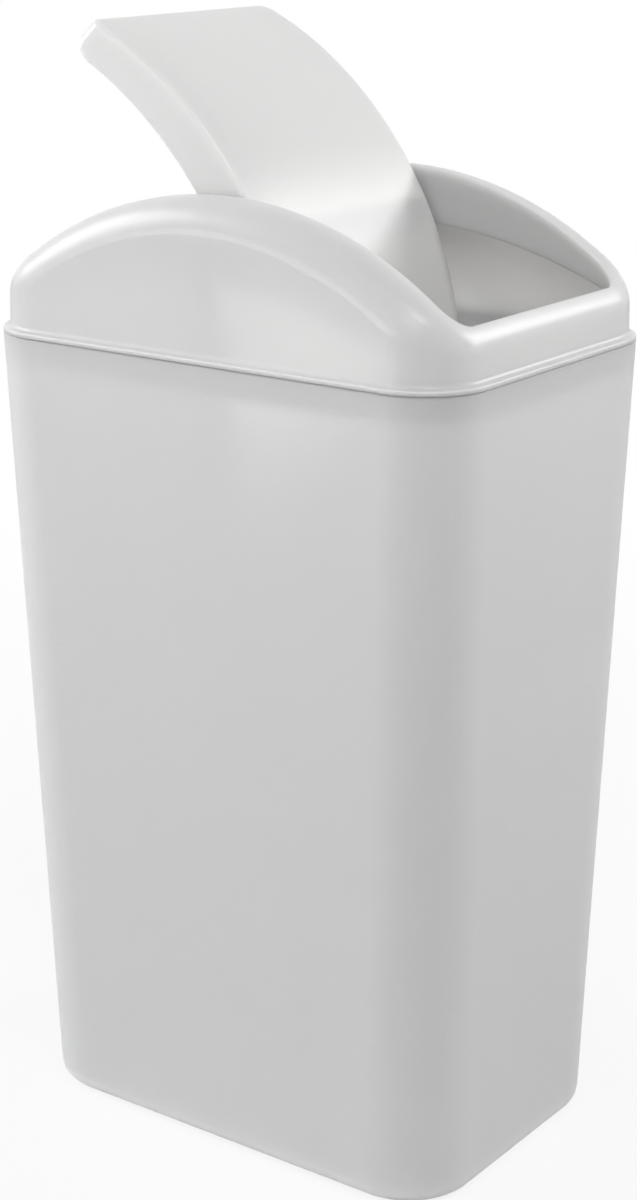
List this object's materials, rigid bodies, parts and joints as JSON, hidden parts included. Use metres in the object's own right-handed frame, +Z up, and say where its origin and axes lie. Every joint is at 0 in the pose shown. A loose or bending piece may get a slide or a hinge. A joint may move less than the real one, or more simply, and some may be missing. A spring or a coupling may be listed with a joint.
{
  "type": "countertop swing-lid waste bin",
  "caption": "Tall tapering countertop waste bin with a lift-off arched lid and a curved flap that swings in its mouth.",
  "frame": {"origin": "middle of the foot ring, on the surface that the bin stands on", "axes": "+X along the long side, towards the mouth that the open flap leaves; +Y across the bin; +Z up"},
  "size_m": [0.184, 0.1276, 0.3715],
  "materials": {
    "body_plastic": "white polypropylene, satin, very fine moulded texture",
    "lid_plastic": "white polypropylene, satin",
    "flap_plastic": "white polypropylene, satin"
  },
  "bodies": {
    "bin": {"bin_body": "body_plastic"},
    "lid": {"lid_cover": "lid_plastic"},
    "flap": {"swing_flap": "flap_plastic"}
  },
  "joints": [
    {"name": "lid_lift", "type": "slide", "parent": "bin", "child": "lid", "axis": [0, 0, 1], "range_m": [0, 0.08]},
    {"name": "flap_swing", "type": "hinge", "parent": "lid", "child": "flap", "pos_m": [0, 0, 0.3065], "axis": [0, 1, 0], "range_deg": [-122.8, 0]}
  ]
}
